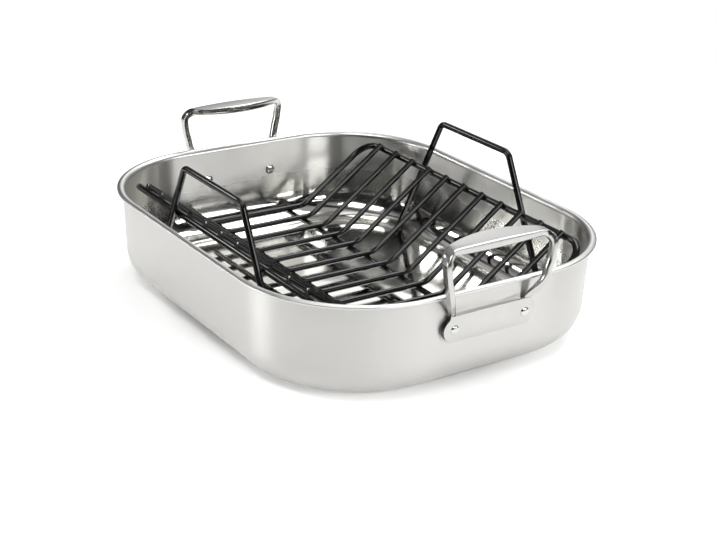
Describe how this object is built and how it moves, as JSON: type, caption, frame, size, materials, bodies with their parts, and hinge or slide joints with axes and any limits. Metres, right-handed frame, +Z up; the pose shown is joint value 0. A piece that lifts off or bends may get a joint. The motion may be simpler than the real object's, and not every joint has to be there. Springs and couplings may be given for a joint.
{
  "type": "roasting pan",
  "caption": "Large rounded-rectangle steel roasting pan with riveted cast loop handles and a lift-out black V-shaped wire roasting rack with its own carrying handles.",
  "frame": {"origin": "centre of the pan's flat underside", "axes": "+X along the pan towards one cast handle, +Y across the pan, +Z up out of the pan"},
  "size_m": [0.4272, 0.33, 0.1285],
  "materials": {
    "pan_steel": "satin brushed outside, polished inside",
    "handle_steel": "bright polished casting",
    "rivet_steel": "polished",
    "rack_coating": "black non-stick coating, semi-gloss, over steel wire"
  },
  "bodies": {
    "pan": {"pan_body": "pan_steel", "front_handle": "handle_steel", "rear_handle": "handle_steel", "front_rivet_1": "rivet_steel", "front_rivet_2": "rivet_steel", "rear_rivet_1": "rivet_steel", "rear_rivet_2": "rivet_steel"},
    "rack": {"rack_rail_left": "rack_coating", "rack_rail_right": "rack_coating", "rack_end_front": "rack_coating", "rack_end_rear": "rack_coating", "rack_wire_1": "rack_coating", "rack_wire_2": "rack_coating", "rack_wire_3": "rack_coating", "rack_wire_4": "rack_coating", "rack_wire_5": "rack_coating", "rack_wire_6": "rack_coating", "rack_wire_7": "rack_coating", "rack_wire_8": "rack_coating", "rack_wire_9": "rack_coating", "rack_wire_10": "rack_coating", "rack_wire_11": "rack_coating", "rack_stringer_left": "rack_coating", "rack_stringer_right": "rack_coating", "rack_handle_left": "rack_coating", "rack_handle_right": "rack_coating"}
  },
  "joints": [
    {"name": "rack_lift", "type": "slide", "parent": "pan", "child": "rack", "axis": [0, 0, 1], "range_m": [0, 0.16]}
  ]
}
